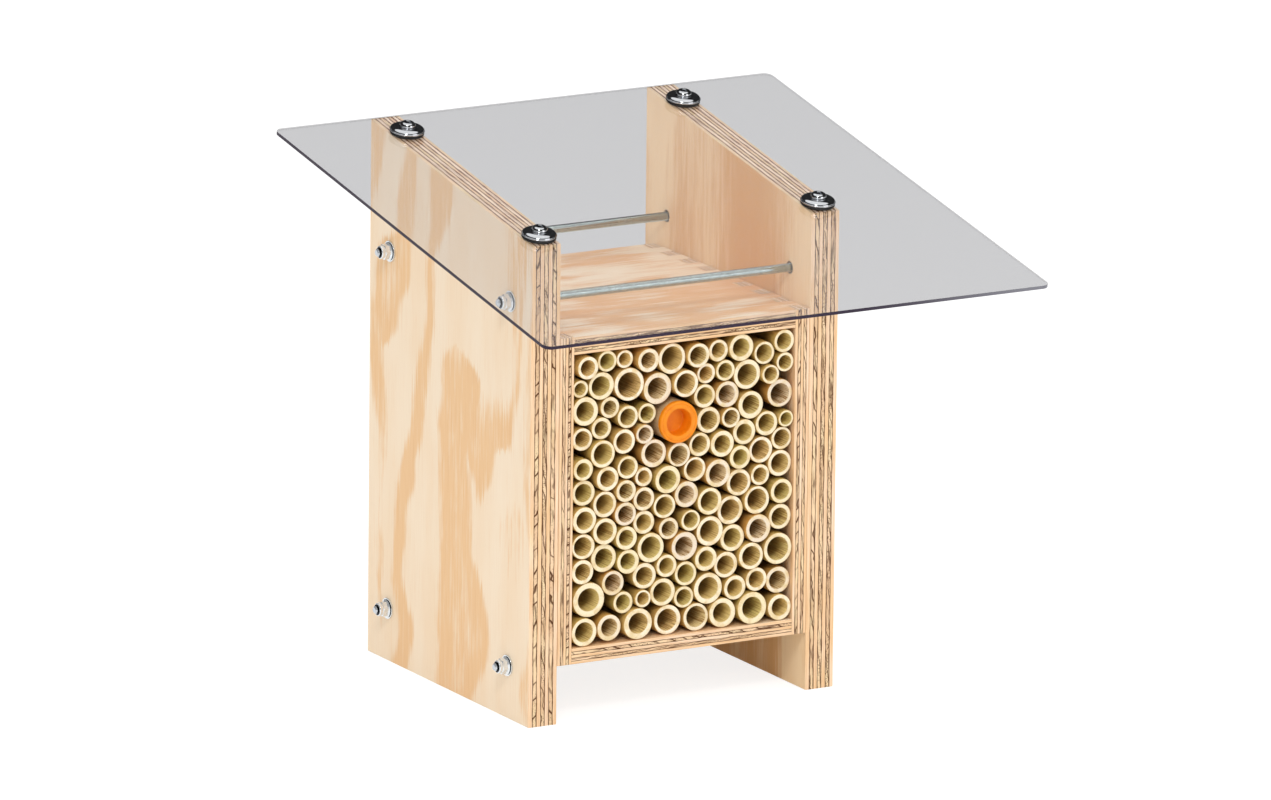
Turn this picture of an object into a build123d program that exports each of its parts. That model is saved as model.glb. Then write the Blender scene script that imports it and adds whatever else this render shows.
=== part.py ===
from build123d import *
import math
import os
import random
from itertools import combinations

# Bee hotel, in millimetres, +Z up. Two plywood side boards, tied together by four threaded rods, carry a
# clear sloping roof sheet and clamp a plywood nest box between them. The box lies on the lower rods and is
# packed with bamboo tubes round one starter tube with a cap. The front faces -Y. The origin is on the
# ground, under the middle of the whole object.

# Nest box: fingers join the top and the floor to the side walls, and the back lies between the four
box_width = 159.5
box_height = 186.5
box_depth = 176.0
box_ply = 9.0
box_back_ply = 6.0
finger_count = 17
box_side_clearance = 0.25
box_rod_clearance = 0.3

# Side boards: the box is flush with their front edges and stops short of their back edges
board_thickness = 18.0
box_back_recess = 12.0
board_rise_above_box = 54.2
roof_pitch = 10.25

# Threaded rods, each with a washer and a nut at both ends
rod_diameter = 5.0
rod_hole_clearance = 1.0
rod_inset = 24.0
lower_rod_height = 30.5
upper_rod_above_box = 15.7
rod_past_nut = 4.0
rod_washer_diameter = 12.0
rod_washer_thickness = 1.0
rod_washer_clearance = 0.15
nut_sides = 6
nut_across_flats = 8.0
nut_height = 4.0
nut_clearance = 0.05

# Roof sheet and its four sealed screws, which go into the sloping tops of the boards
sheet_thickness = 2.0
sheet_side_overhang = 62.0
sheet_front_overhang = 129.0
sheet_corner_radius = 5.0
sheet_hole_clearance = 0.5
screw_front_inset = 9.5
screw_rear_inset = 26.0
screw_diameter = 4.5
screw_length = 30.0
screw_clearance = 0.05
screw_head_diameter = 9.0
screw_head_height = 2.6
screw_head_edge = 1.2
screw_head_crown = 5.0
seal_diameter = 19.0
seal_thickness = 2.0
cup_diameter = 20.0
cup_rim = 0.8
cup_height = 2.6

# Starter tube and its cap, a plug with a flange and a hollow middle
cap_diameter = 24.0
cap_flange = 3.0
cap_plug_depth = 11.0
cap_hollow_diameter = 15.5
cap_hollow_depth = 8.5
cap_clearance = 0.2
starter_tube_lip = 0.3
starter_tube_wall = 1.5
starter_set_back = 0.4
starter_place = (66, -45.5)

# Small round pieces and holes that repeat are prisms with few sides
rim_sides = 16
hole_sides = 10

# Bamboo tubes, row by row from the floor up: each one's place across the box from its left wall, its height
# above its floor and its outer diameter, before the stack settles. A negative place is counted back from the
# right wall, and a negative height down from the top.
tube_rows = [
    [(9, 7, 16), (24, 9, 15), (43, 8, 18), (62, 8, 17), (-61, 8, 16), (-43, 8, 17), (-25, 9, 18.5),
     (-8, 7, 15)],
    [(11, 26, 20), (34, 22, 12.5), (46, 23, 10), (60, 25, 16), (-68, 20, 12.5), (-52, 22, 18),
     (-35, 22, 14), (-21, 24, 13.5), (-7, 23, 15.5)],
    [(7, 43, 14), (27, 33, 14), (48, 35, 15), (61, 40, 13), (-68, 35, 14), (-55, 41, 14), (-41, 35, 15),
     (-27, 39, 15.5), (-8, 42, 18)],
    [(7, 57, 14.5), (21, 48, 16), (36, 45, 14), (50, 50, 17), (-70, 50, 16.5), (-53, 57, 17),
     (-38, 50, 15.5), (-22, 53, 16), (-8, 59, 14.5)],
    [(8, 72, 15), (21, 64, 15), (34, 59, 13.5), (47, 66, 13.5), (62, 61, 12.5), (-66, 65, 12),
     (-39, 66, 16.5), (-23, 70, 16)],
    [(21, 80, 15), (34, 73, 13.5), (46, 80, 13.5), (59, 75, 14), (-67, 80, 15), (-53, 74, 15.5),
     (-35, 82, 15.5), (-6, 75, 14)],
    [(8, -80.5, 14.5), (22, -73.5, 14), (34, -82.5, 12.5), (46, -75.5, 11), (61, -77.5, 16),
     (-63, -74.5, 14), (-49, -78.5, 16), (-20, -83.5, 12), (-8, -78.5, 15)],
    [(7, -66.5, 12.5), (19, -59.5, 15.5), (35, -68.5, 13), (53, -62.5, 16), (68, -65.5, 14),
     (-60, -60.5, 13.5), (-46, -62.5, 15), (-34, -71.5, 13.5), (-19, -68.5, 15), (-7, -63.5, 13)],
    [(7, -49.5, 13), (19, -44.5, 12.5), (33, -53.5, 14), (46, -50.5, 11), (-54, -47.5, 15),
     (-40, -47.5, 11.5), (-31, -58.5, 14.5), (-27, -42.5, 16), (-18, -53.5, 14), (-5, -52.5, 9.5)],
    [(9, -33.5, 16.5), (24, -33.5, 12), (35, -39.5, 13), (48, -39.5, 11.5), (54, -25.5, 18),
     (71, -24.5, 15.5), (-57, -33.5, 13.5), (-42, -34.5, 15), (-15, -25.5, 11), (-8, -35.5, 16)],
    [(5, -20.5, 10), (18, -20.5, 16), (36, -21.5, 19), (-55, -20.5, 11.5), (-43, -20.5, 12),
     (-29, -23.5, 17), (-5, -20.5, 11)],
    [(9, -8.5, 13), (22, -6.5, 12), (33, -6.5, 10.5), (48, -8.5, 13.5), (63, -9.5, 17.5),
     (-62, -9.5, 14), (-48, -8.5, 12.5), (-34, -8.5, 15.5), (-18, -12.5, 13), (-5, -7.5, 13)],
]
tube_sides = 9
tube_wall_share = 0.165
tube_gap = 0.3
tube_back_clearance = 0.2
tube_set_back = 2.5
tube_seed = 4
settle_rounds = 400
settle_error = 0.01

# A box with room to spare is topped up with more tubes, of diameters between these, tried at every step
spare_smallest = 9.5
spare_largest = 18.0
spare_step = 2.0

# Places that follow from the sizes above
board_gap = box_width + 2 * box_side_clearance
board_depth = box_depth + box_back_recess
outer_width = board_gap + 2 * board_thickness
slope_sin = math.sin(math.radians(roof_pitch))
slope_cos = math.cos(math.radians(roof_pitch))
slope_length = board_depth / slope_cos
sheet_front_reach = sheet_front_overhang * slope_cos + sheet_thickness * slope_sin
board_front = (sheet_front_reach - board_depth) / 2
board_back = board_front + board_depth
box_bottom = lower_rod_height + rod_diameter / 2 + box_rod_clearance
box_top_level = box_bottom + box_height
upper_rod_height = box_top_level + upper_rod_above_box + rod_diameter / 2
board_front_height = box_top_level + board_rise_above_box
board_back_height = board_front_height + slope_length * slope_sin
inner_width = box_width - 2 * box_ply
inner_height = box_height - 2 * box_ply
inner_floor = box_bottom + box_ply
inner_back = board_front + box_depth - box_back_ply
box_y = (board_front, board_front + box_depth)
rod_places = {
    "lower_front_rod": (board_front + rod_inset, lower_rod_height),
    "lower_rear_rod": (board_back - rod_inset, lower_rod_height),
    "upper_front_rod": (board_front + rod_inset, upper_rod_height),
    "upper_rear_rod": (board_back - rod_inset, upper_rod_height),
}
screw_places = [
    (side * (board_gap + board_thickness) / 2, along)
    for side in (-1, 1)
    for along in (screw_front_inset, slope_length - screw_rear_inset)
]
screw_bore = screw_diameter / 2 + screw_clearance
cup_seat = sheet_thickness + seal_thickness
head_seat = cup_seat + cup_height
starter_tube_diameter = cap_diameter - 2 * starter_tube_lip
starter_bore = starter_tube_diameter - 2 * starter_tube_wall


def save(name, *solids):
    """Write one node, a single solid or a group of separate ones."""
    export_step(solids[0] if len(solids) == 1 else Compound(solids), f"parts/{name}.step")


def block(x_range, y_range, z_range):
    """A flat board or panel between two corners."""
    low, high = zip(x_range, y_range, z_range)
    size = [end - start for start, end in zip(low, high)]
    return Pos(*low) * Box(*size, align=(Align.MIN, Align.MIN, Align.MIN))


def outside(side, place):
    """The plane on the outer face of the left (-1) or right (1) board, at a rod and facing outwards."""
    return Plane((side * outer_width / 2, *place), x_dir=(0, 1, 0), z_dir=(side, 0, 0))


def on_slope(x, along):
    """The plane on the boards' sloping tops, at a distance up the slope from their front edges."""
    point = (x, board_front + along * slope_cos, board_front_height + along * slope_sin)
    return Plane(point, x_dir=(1, 0, 0), z_dir=(0, -slope_sin, slope_cos))


def in_box(x, y, height, turn=0):
    """The plane across the nest box at a height above its floor, facing the front."""
    return Plane((x, y, inner_floor + height), x_dir=(1, 0, 0), z_dir=(0, -1, 0)) * Rot(0, 0, turn)


def disc(radius, low, high, sides=rim_sides):
    """A small round piece or hole on the Z axis between two heights, as a prism just round its circle."""
    return extrude(Plane.XY.offset(low) * RegularPolygon(radius, sides, major_radius=False), high - low)


def domed(radius, low, crown, high):
    """A small round piece on the Z axis that narrows from one radius to another."""
    slope = math.degrees(math.atan2(radius - crown, high - low))
    foot = Plane.XY.offset(low) * RegularPolygon(radius, rim_sides, major_radius=False)
    return extrude(foot, high - low, taper=slope)


def side_board(side):
    """The left (-1) or right (1) board with its sloping top, the four rod holes and the two screw holes."""
    profile = Polyline((board_front, 0), (board_back, 0), (board_back, board_back_height),
                       (board_front, board_front_height), close=True)
    board = extrude(Plane.YZ.offset(side * outer_width / 2) * make_face(profile), -side * board_thickness)
    rod_hole = disc(rod_diameter / 2 + rod_hole_clearance, -board_thickness, 0, hole_sides)
    screw_hole = disc(screw_bore, -screw_length, 0, hole_sides)
    board -= [outside(side, place) * rod_hole for place in rod_places.values()]
    return board - [on_slope(x, along) * screw_hole for x, along in screw_places if x * side > 0]


def roof_sheet():
    """The clear sheet, flush with the boards' back edges, with a hole for each screw."""
    length = slope_length + sheet_front_overhang
    outline = RectangleRounded(outer_width + 2 * sheet_side_overhang, length, sheet_corner_radius)
    sheet = extrude(on_slope(0, slope_length - length / 2) * outline, sheet_thickness)
    hole = disc(screw_diameter / 2 + sheet_hole_clearance, 0, sheet_thickness, hole_sides)
    return sheet - [on_slope(*place) * hole for place in screw_places]


def roof_seal():
    """The rubber ring between the sheet and a cup washer."""
    hole = disc(screw_bore, sheet_thickness, cup_seat, hole_sides)
    return disc(seal_diameter / 2, sheet_thickness, cup_seat) - hole


def cup_washer():
    """The domed steel washer on a seal."""
    rim_top = cup_seat + cup_rim
    cup = disc(cup_diameter / 2, cup_seat, rim_top)
    cup += domed(cup_diameter / 2, rim_top, screw_head_diameter / 2, head_seat)
    return cup - disc(screw_bore, cup_seat, head_seat, hole_sides)


def roof_screw():
    """A screw with a low domed head on its cup washer."""
    edge = head_seat + screw_head_edge
    screw = disc(screw_diameter / 2, -screw_length, head_seat, hole_sides)
    screw += disc(screw_head_diameter / 2, head_seat, edge)
    return screw + domed(screw_head_diameter / 2, edge, screw_head_crown / 2, head_seat + screw_head_height)


def tie_rod(place):
    """A rod through both boards, with its ends past the nuts."""
    past_board = rod_washer_thickness + nut_height + rod_past_nut
    end = outside(1, place).offset(past_board) * Circle(rod_diameter / 2)
    return extrude(end, -outer_width - 2 * past_board)


def rod_washer(side, place):
    """A flat washer against the outer face of a board."""
    hole = disc(rod_diameter / 2 + rod_washer_clearance, 0, rod_washer_thickness, hole_sides)
    return outside(side, place) * (disc(rod_washer_diameter / 2, 0, rod_washer_thickness) - hole)


def rod_nut(side, place):
    """A hexagon nut on a rod, against its washer."""
    nut_top = rod_washer_thickness + nut_height
    hexagon = disc(nut_across_flats / 2, rod_washer_thickness, nut_top, nut_sides)
    hole = disc(rod_diameter / 2 + nut_clearance, rod_washer_thickness, nut_top, hole_sides)
    return outside(side, place) * (hexagon - hole)


def finger(number):
    """Where a finger of the box starts and ends, counted from the front."""
    width = box_depth / finger_count
    return (board_front + number * width, board_front + (number + 1) * width)


def box_wall(left):
    """A side wall of the box, with its first and last fingers and notches for those of the top and floor."""
    x_range = (left, left + box_ply)
    notches = [block(x_range, finger(number), (low, low + box_ply))
               for number in range(1, finger_count, 2)
               for low in (box_bottom, box_top_level - box_ply)]
    return block(x_range, box_y, (box_bottom, box_top_level)) - notches


def box_shelf(low):
    """The top or the floor of the box, with fingers that fill the notches of the walls."""
    z_range = (low, low + box_ply)
    notches = [block((left, left + box_ply), finger(number), z_range)
               for number in range(0, finger_count, 2)
               for left in (-box_width / 2, inner_width / 2)]
    return block((-box_width / 2, box_width / 2), box_y, z_range) - notches


def push_apart(tubes):
    """Move each tube half the way clear of every tube that it is too near, then back inside the box.

    Returns how much room each one was short of.
    """
    short_of = [0.0] * len(tubes)
    for (i, one), (j, other) in combinations(enumerate(tubes), 2):
        run, climb = other[0] - one[0], other[1] - one[1]
        apart = math.hypot(run, climb)
        short = one[2] + other[2] + tube_gap - apart
        if short > 0:
            short_of[i] += short
            short_of[j] += short
            share = short / apart / 2
            one[0] -= run * share
            one[1] -= climb * share
            other[0] += run * share
            other[1] += climb * share
    for tube in tubes:
        side = inner_width / 2 - tube_gap - tube[2]
        low = tube_gap + tube[2]
        tube[0] = max(-side, min(side, tube[0]))
        tube[1] = max(low, min(inner_height - low, tube[1]))
    return short_of


def settled(tubes):
    """The tubes once each has its gap to its neighbours and the walls.

    One that finds no room is left out, but never the first, which is the starter tube.
    """
    while True:
        for _ in range(settle_rounds):
            short_of = push_apart(tubes)
            if max(short_of) < settle_error:
                return tubes
        del tubes[short_of.index(max(short_of[1:]), 1)]


def room_at(x, height, tubes):
    """The radius of the widest tube that fits between the others and the walls with its centre here."""
    to_wall = min(inner_width / 2 - abs(x), height, inner_height - height)
    to_tube = min(math.hypot(x - tube[0], height - tube[1]) - tube[2] for tube in tubes)
    return min(to_wall, to_tube) - tube_gap


def topped_up(tubes):
    """The tubes with more of them, each against a neighbour or a wall, where the box has room for one."""
    steps_across = int(inner_width / 2 / spare_step)
    steps_up = int(inner_height / spare_step)
    spots = [(i * spare_step, j * spare_step)
             for i in range(-steps_across, steps_across + 1) for j in range(1, steps_up + 1)]
    while True:
        rooms = [(room_at(*spot, tubes), *spot) for spot in spots]
        rooms = [room for room in rooms if spare_smallest <= 2 * room[0] <= spare_largest]
        if not rooms:
            return tubes
        radius, x, height = max(rooms)
        beside = min(tubes[1:], key=lambda tube: math.hypot(x - tube[0], height - tube[1]))
        tubes.append([x, height, radius, beside[3]])


def in_stack(place, height, diameter, row_number):
    """A tube as its place across from the middle of the box, height above the floor, radius and row."""
    x = place - inner_width / 2 if place > 0 else place + inner_width / 2
    return [x, height if height > 0 else height + inner_height, diameter / 2, row_number]


def stack():
    """The starter tube's place and each row's tubes, as place across, height above the floor and radius."""
    starter_row = 0
    tubes = [in_stack(*starter_place, cap_diameter, starter_row)]
    for number, row in enumerate(tube_rows, 1):
        tubes += [in_stack(*tube, number) for tube in row]
    rows = {}
    for *tube, number in topped_up(settled(tubes)):
        rows.setdefault(number, []).append(tube)
    return rows.pop(starter_row)[0], rows


def bamboo_tube(x, height, radius, set_back, turn):
    """A length of cane, open in front and closed behind by the back of the box."""
    bore = radius * (1 - 2 * tube_wall_share)
    ring = RegularPolygon(radius, tube_sides) - RegularPolygon(bore, tube_sides)
    length = box_depth - box_back_ply - tube_back_clearance - set_back
    return extrude(in_box(x, inner_back - tube_back_clearance, height, turn) * ring, length)


def starter_tube(x, height):
    """The round tube behind the cap."""
    ring = Circle(starter_tube_diameter / 2) - Circle(starter_bore / 2)
    length = box_depth - box_back_ply - tube_back_clearance - starter_set_back
    return extrude(in_box(x, inner_back - tube_back_clearance, height) * ring, length)


def starter_cap(x, height):
    """The flanged plug, turned round its axis, with its hollow open to the front."""
    flange = cap_diameter / 2
    plug = starter_bore / 2 - cap_clearance
    hollow = cap_hollow_diameter / 2
    outline = Polyline((hollow, 0), (flange, 0), (flange, -cap_flange), (plug, -cap_flange),
                       (plug, -cap_plug_depth), (0, -cap_plug_depth), (0, -cap_hollow_depth),
                       (hollow, -cap_hollow_depth), close=True)
    cap_front = board_front + starter_set_back - cap_flange
    return in_box(x, cap_front, height) * revolve(make_face(Plane.XZ * outline), Axis.Z)


os.makedirs("parts", exist_ok=True)

save("left_side_board", side_board(-1))
save("right_side_board", side_board(1))
save("roof_sheet", roof_sheet())
save("roof_seals", *[on_slope(*place) * roof_seal() for place in screw_places])
save("roof_cup_washers", *[on_slope(*place) * cup_washer() for place in screw_places])
save("roof_screws", *[on_slope(*place) * roof_screw() for place in screw_places])

for rod_name, rod_place in rod_places.items():
    save(rod_name, tie_rod(rod_place))
for side_name, side_sign in (("left", -1), ("right", 1)):
    save(f"{side_name}_rod_washers", *[rod_washer(side_sign, place) for place in rod_places.values()])
    save(f"{side_name}_rod_nuts", *[rod_nut(side_sign, place) for place in rod_places.values()])

inner_x = (-inner_width / 2, inner_width / 2)
inner_z = (inner_floor, inner_floor + inner_height)
save("box_left_wall", box_wall(-box_width / 2))
save("box_right_wall", box_wall(inner_width / 2))
save("box_top", box_shelf(box_top_level - box_ply))
save("box_floor", box_shelf(box_bottom))
save("box_back", block(inner_x, (inner_back, inner_back + box_back_ply), inner_z))

starter, cane_rows = stack()
chance = random.Random(tube_seed)
for row_number, row in cane_rows.items():
    canes = []
    for cane in row:
        set_back = chance.uniform(0, tube_set_back)
        turn = chance.uniform(0, 360 / tube_sides)
        canes.append(bamboo_tube(*cane, set_back, turn))
    save(f"tube_row_{row_number:02d}", *canes)
save("starter_tube", starter_tube(*starter[:2]))
save("starter_cap", starter_cap(*starter[:2]))
print("tubes in the box:", sum(len(row) for row in cane_rows.values()))
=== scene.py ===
import bmesh
import bpy
import math
import random
from functools import partial
from mathutils import Matrix, Vector


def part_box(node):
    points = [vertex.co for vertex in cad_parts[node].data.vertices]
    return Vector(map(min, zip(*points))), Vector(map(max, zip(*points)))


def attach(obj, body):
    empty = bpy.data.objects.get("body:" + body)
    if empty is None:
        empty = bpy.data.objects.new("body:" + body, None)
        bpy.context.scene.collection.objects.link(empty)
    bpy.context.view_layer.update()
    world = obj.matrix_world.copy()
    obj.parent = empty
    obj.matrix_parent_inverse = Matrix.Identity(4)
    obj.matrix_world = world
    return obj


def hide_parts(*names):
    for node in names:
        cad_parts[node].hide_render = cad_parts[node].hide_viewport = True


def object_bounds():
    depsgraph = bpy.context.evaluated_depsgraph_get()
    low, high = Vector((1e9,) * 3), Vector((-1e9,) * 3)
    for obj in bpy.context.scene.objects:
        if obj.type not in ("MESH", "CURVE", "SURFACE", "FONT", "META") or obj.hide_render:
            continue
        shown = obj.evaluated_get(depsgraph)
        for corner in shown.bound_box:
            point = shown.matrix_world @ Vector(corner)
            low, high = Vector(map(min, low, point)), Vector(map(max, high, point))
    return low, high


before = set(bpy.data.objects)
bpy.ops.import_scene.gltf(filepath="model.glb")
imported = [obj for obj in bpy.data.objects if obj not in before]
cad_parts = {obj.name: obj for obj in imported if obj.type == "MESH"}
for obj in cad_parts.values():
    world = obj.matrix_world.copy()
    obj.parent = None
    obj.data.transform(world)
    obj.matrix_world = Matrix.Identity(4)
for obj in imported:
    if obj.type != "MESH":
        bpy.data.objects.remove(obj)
cad_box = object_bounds()

# Side boards. Two boards of softwood plywood, seven plies thick, sawn to a sloping top and drilled for the
# tie rods. Their faces are rotary-cut veneer with a broad pale and tan figure, and each edge shows the plies:
# smooth where a ply's grain runs along the edge, with dark slanting growth rings where it is cut across.

MM = 0.001
board_plies = 7
board_arris = 0.4 * MM
weld_reach = 0.002 * MM
rod_hole_radius = 3.5 * MM
hole_steps = 32
board_low, board_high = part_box("left_side_board")
board_thickness = board_high.x - board_low.x
board_corners = [corner.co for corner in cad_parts["left_side_board"].data.vertices]
board_front_height = max(corner.z for corner in board_corners if corner.y < board_low.y + 0.01 * MM)
rod_names = ["lower_front_rod", "lower_rear_rod", "upper_front_rod", "upper_rear_rod"]
rod_middles = [sum(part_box(rod_name), Vector()) / 2 for rod_name in rod_names]


def srgb(red, green, blue):
    """A colour as the eye reads it, 0 to 255, as the linear colour that a shader takes."""
    shares = [level / 255 for level in (red, green, blue)]
    return [share / 12.92 if share < 0.04045 else ((share + 0.055) / 1.055) ** 2.4 for share in shares] + [1]


def feed(node, inputs):
    """Set a node's inputs to plain values, or link them to other nodes' sockets."""
    for key, value in inputs.items():
        if isinstance(value, bpy.types.NodeSocket):
            node.id_data.links.new(value, node.inputs[key])
        else:
            node.inputs[key].default_value = value
    return node


def add(kind, inputs, tree=None, **settings):
    """A shader node with its settings, in the tree given or in that of the first socket among its inputs."""
    if tree is None:
        tree = next(value.id_data for value in inputs.values() if isinstance(value, bpy.types.NodeSocket))
    node = tree.nodes.new(f"ShaderNode{kind}")
    for setting, value in settings.items():
        setattr(node, setting, value)
    return feed(node, inputs)


def maths(operation, *values):
    """One step of arithmetic on numbers or sockets."""
    return add("Math", dict(enumerate(values)), operation=operation).outputs[0]


# The steps that come up most. The last is what a share leaves of 1
times = partial(maths, "MULTIPLY")
plus = partial(maths, "ADD")
minus = partial(maths, "SUBTRACT")
larger = partial(maths, "MAXIMUM")
smaller = partial(maths, "MINIMUM")
rest = partial(maths, "SUBTRACT", 1.0)


def ramp(value, low, high):
    """A smooth rise from 0 to 1 as the value goes from low to high."""
    ends = {"Value": value, "From Min": low, "From Max": high}
    return add("MapRange", ends, interpolation_type="SMOOTHSTEP").outputs[0]


def spread(value, low, high):
    """A 0 to 1 value spread evenly over another range."""
    return add("MapRange", {"Value": value, "To Min": low, "To Max": high}).outputs[0]


def mixed(share, one, other):
    """One colour turned into another by a share. A mix node's sockets for colours go by number."""
    return add("Mix", {0: share, 6: one, 7: other}, data_type="RGBA").outputs[2]


def apart(vector):
    """The three parts of a vector socket."""
    return add("SeparateXYZ", {0: vector}).outputs[:]


def together(*parts):
    """A vector from three numbers or sockets."""
    return add("CombineXYZ", dict(enumerate(parts))).outputs[0]


def vectors(operation, one, other):
    """One step of arithmetic on two vectors."""
    return add("VectorMath", {0: one, 1: other}, operation=operation).outputs[0]


def speckle(place, sizes, detail=2.0, roughness=0.5):
    """Noise at a place, a vector or its three parts, with grains of one size, or of three along the axes."""
    if isinstance(place, tuple):
        place = together(*place)
    if isinstance(sizes, float):
        sizes = (sizes, sizes, sizes)
    scaled = vectors("DIVIDE", place, sizes)
    settings = {"Vector": scaled, "Scale": 1.0, "Detail": detail, "Roughness": roughness}
    return add("TexNoise", settings).outputs[0]


def bumped(height, distance):
    """A normal tilted by a height, which counts in units of the distance."""
    return add("Bump", {"Height": height, "Distance": distance}).outputs[0]


def new_group(name, inputs, outputs):
    """An empty shader node group, the sockets that it is given, and the node that takes its results."""
    tree = bpy.data.node_groups.new(name, "ShaderNodeTree")
    for direction, sockets in (("INPUT", inputs), ("OUTPUT", outputs)):
        for socket_name, kind in sockets.items():
            tree.interface.new_socket(socket_name, in_out=direction, socket_type=f"NodeSocket{kind}")
    return tree, tree.nodes.new("NodeGroupInput").outputs, tree.nodes.new("NodeGroupOutput")


def results_of(group, inputs, tree=None):
    """The outputs of a group that is used with these inputs."""
    return add("Group", inputs, tree, node_tree=group).outputs


def new_look(name):
    """A new material, its node tree and its shader."""
    look = bpy.data.materials.new(name)
    look.use_nodes = True
    return look, look.node_tree, look.node_tree.nodes["Principled BSDF"]


def veneer_figure():
    """The broad tan figure of rotary-cut veneer: contours of a slow wave, drawn out along the grain."""
    sockets = {"Place": "Vector", "Seed": "Float", "Width": "Float", "Length": "Float"}
    tree, given, result = new_group("veneer figure", sockets, {"Figure": "Float"})
    _, across, along = apart(given["Place"])
    tooth = speckle((across, 0.0, given["Seed"]), (1.6, 1.0, 1.0), 3.0)
    ragged = plus(along, spread(tooth, -9.0, 9.0))
    sizes = together(given["Width"], given["Length"], 1.0)
    slow = speckle((across, ragged, given["Seed"]), sizes, 1.5, 0.45)
    tilted = plus(times(slow, 5.0), maths("DIVIDE", across, times(given["Width"], 2.5)))
    feed(result, {"Figure": maths("PINGPONG", tilted, 1.0)})
    return tree


finish_sockets = {"Color": "Color", "Roughness": "Float", "Height": "Float"}


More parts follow.
